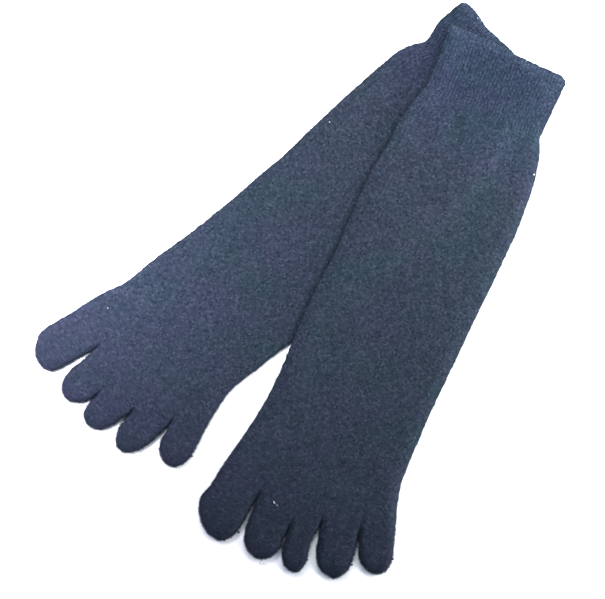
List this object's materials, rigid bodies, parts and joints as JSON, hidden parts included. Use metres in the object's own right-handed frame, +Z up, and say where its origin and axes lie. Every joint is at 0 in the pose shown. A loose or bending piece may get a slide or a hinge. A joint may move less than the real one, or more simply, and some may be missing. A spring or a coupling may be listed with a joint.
{
  "type": "pair of toe socks",
  "caption": "Pair of knitted toe socks laid flat, one partly over the other, each a pressed-flat open tube with a ribbed cuff and a separate pocket for each toe.",
  "frame": {"origin": "under the middle of the pair, on the surface that the socks lie on", "axes": "+Z up off the surface, +Y from the toes towards the cuffs along the pair's longest side, +X across, from the under sock's big toe towards the over sock's cuff"},
  "size_m": [0.3178, 0.3466, 0.0081],
  "materials": {
    "plain_knit": "plain stocking-stitch knit of dark slate-blue melange yarn, matt with a short soft nap",
    "rib_knit": "fine elastic rib of the same melange yarn, ribs running along the sock, matt",
    "toe_knit": "finer plain knit of the same melange yarn on the toe pockets, matt with a short soft nap"
  },
  "bodies": {
    "root": {"under_sock_ribbed_cuff": "rib_knit", "under_sock_leg_and_foot": "plain_knit", "under_sock_big_toe": "toe_knit", "under_sock_second_toe": "toe_knit", "under_sock_middle_toe": "toe_knit", "under_sock_fourth_toe": "toe_knit", "under_sock_little_toe": "toe_knit", "over_sock_ribbed_cuff": "rib_knit", "over_sock_leg_and_foot": "plain_knit", "over_sock_big_toe": "toe_knit", "over_sock_second_toe": "toe_knit", "over_sock_middle_toe": "toe_knit", "over_sock_fourth_toe": "toe_knit", "over_sock_little_toe": "toe_knit"}
  },
  "joints": []
}
